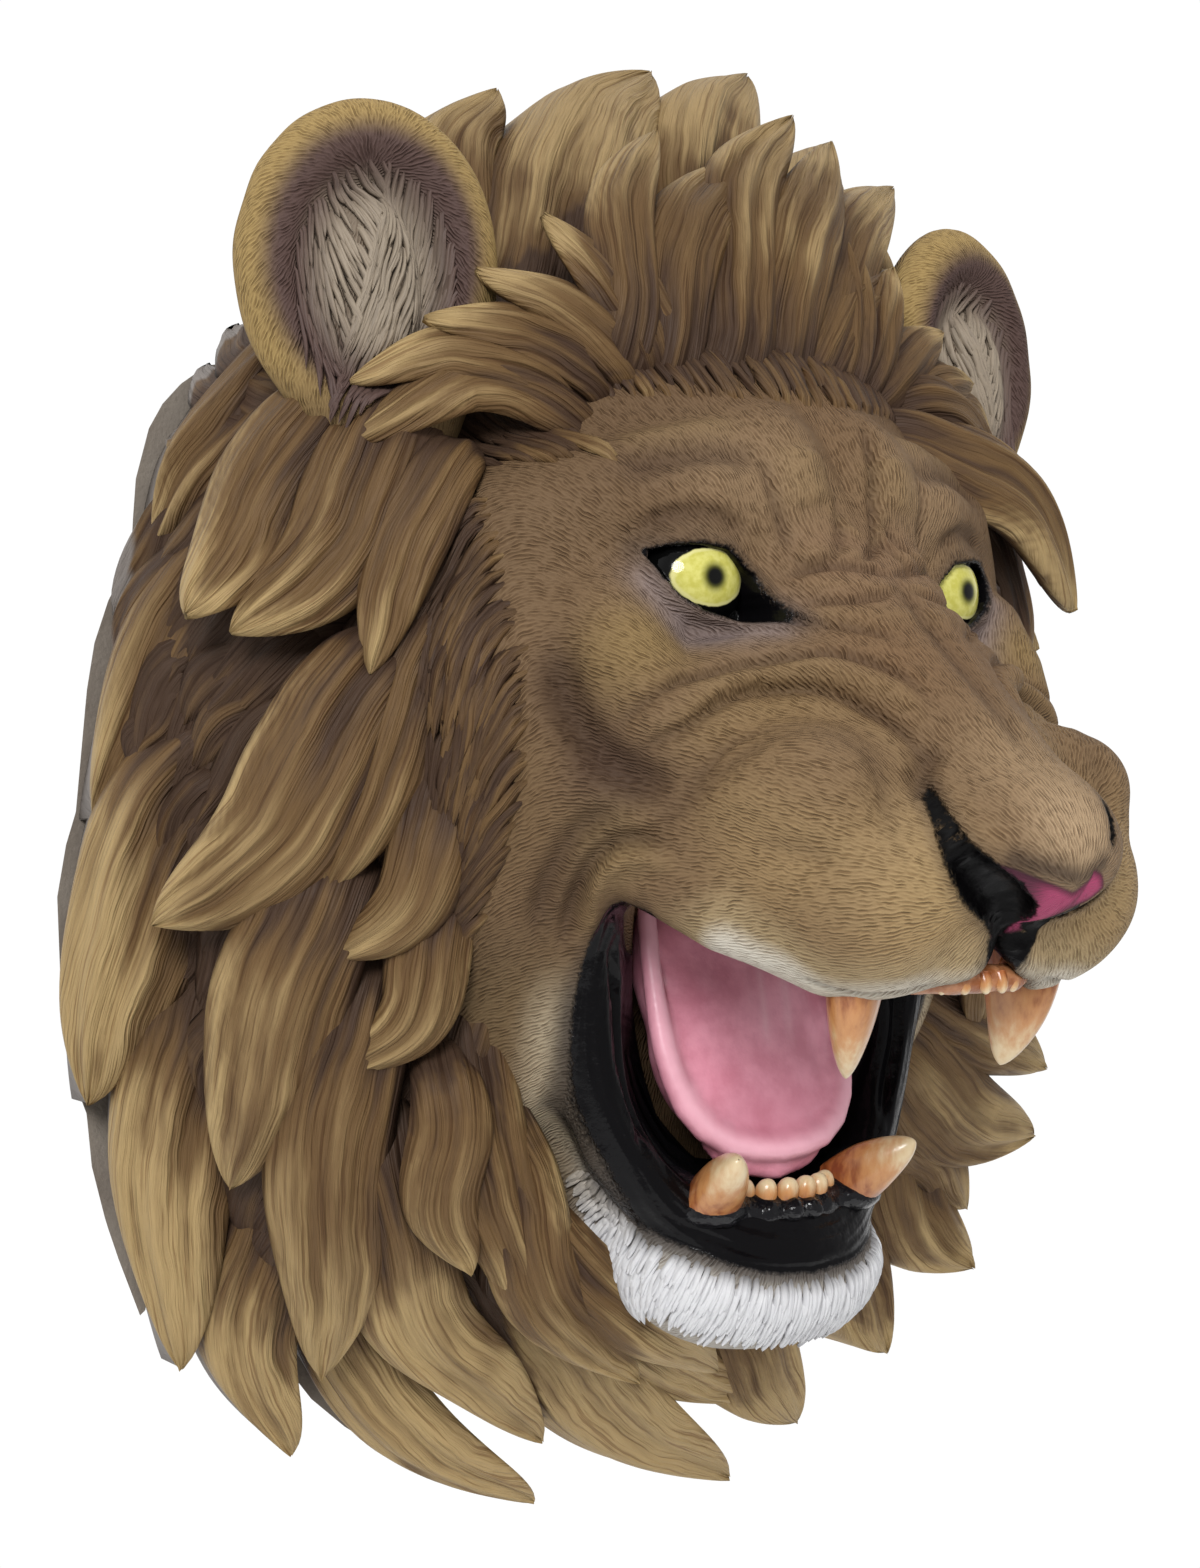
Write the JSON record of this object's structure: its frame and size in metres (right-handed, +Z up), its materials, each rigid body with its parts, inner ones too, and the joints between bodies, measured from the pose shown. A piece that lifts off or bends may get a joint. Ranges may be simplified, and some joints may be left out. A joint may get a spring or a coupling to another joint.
{
  "type": "lion head wall mask",
  "caption": "Roaring lion's head in painted cast resin, with a full mane of carved locks, round ears and an open mouth, cut flat at the back to hang on a wall.",
  "frame": {"origin": "on the flat back, in the middle of the mask, where it lies against the wall", "axes": "+Z up, the face looks along -Y, and +Y points out of the back into the wall"},
  "size_m": [0.2974, 0.2164, 0.4074],
  "materials": {
    "painted_resin": "hand-painted cast resin, matt tan and brown, with glossy eyes, nose and mouth"
  },
  "bodies": {
    "root": {"lion_head_mask": "painted_resin"}
  },
  "joints": []
}
